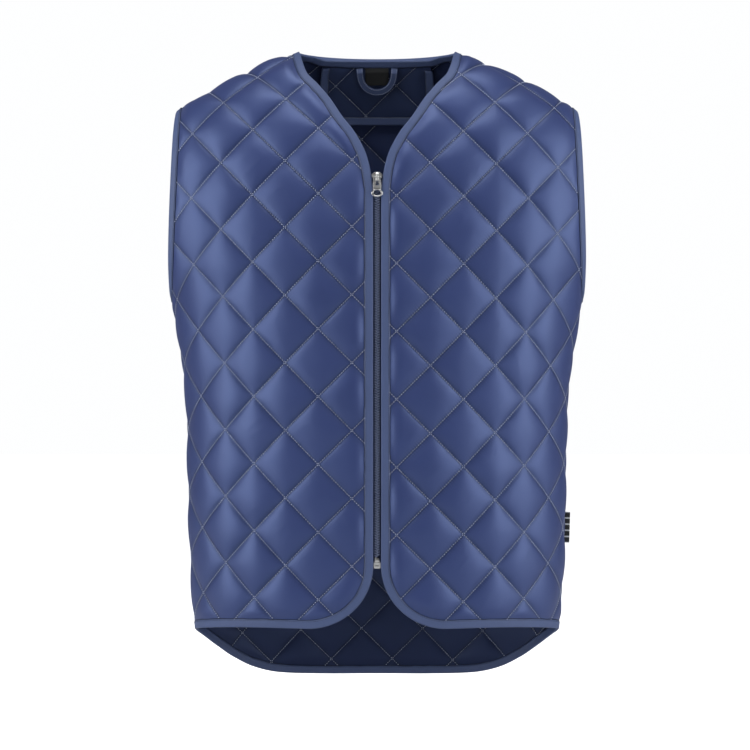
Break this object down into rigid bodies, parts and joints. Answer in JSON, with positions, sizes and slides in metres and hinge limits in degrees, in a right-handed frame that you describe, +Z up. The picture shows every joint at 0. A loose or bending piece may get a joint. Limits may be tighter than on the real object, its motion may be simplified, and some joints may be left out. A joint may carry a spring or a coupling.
{
  "type": "thermal gilet",
  "caption": "Sleeveless quilted body warmer with a V-neck, a closed front zip, bound edges and a longer curved tail.",
  "frame": {"origin": "between the wearer's shoulders at the height of the neck points, in the plane of the side seams", "axes": "+Z up along the wearer's body, +Y towards the wearer's back, +X towards the wearer's left"},
  "size_m": [0.4972, 0.2356, 0.7686],
  "materials": {
    "satin_shell": "satin, quilted",
    "satin_lining": "satin, quilted",
    "binding_tape": "fine weave",
    "zip_tape_cloth": "woven",
    "zip_coil_plastic": "moulded",
    "zip_metal": "polished",
    "label_cloth": "smooth weave"
  },
  "bodies": {
    "vest": {"front_panel_left": "satin_shell", "front_panel_right": "satin_shell", "back_panel": "satin_shell", "neck_facing": "satin_lining", "edge_binding_left": "binding_tape", "edge_binding_right": "binding_tape", "neck_binding": "binding_tape", "tail_binding": "binding_tape", "armhole_binding_left": "binding_tape", "armhole_binding_right": "binding_tape", "facing_binding": "binding_tape", "hanger_loop": "binding_tape", "zip_tape_left": "zip_tape_cloth", "zip_tape_right": "zip_tape_cloth", "zip_coil_left": "zip_coil_plastic", "zip_coil_right": "zip_coil_plastic", "zip_slider": "zip_metal", "zip_bottom_box": "zip_metal", "neck_label": "label_cloth", "side_label": "label_cloth"},
    "zip_pull": {"zip_pull": "zip_metal"}
  },
  "joints": [
    {"name": "zip_pull_swing", "type": "hinge", "parent": "vest", "child": "zip_pull", "pos_m": [0, -0.11667, -0.1606], "axis": [-1, 0, 0], "range_deg": [0, 170]}
  ]
}
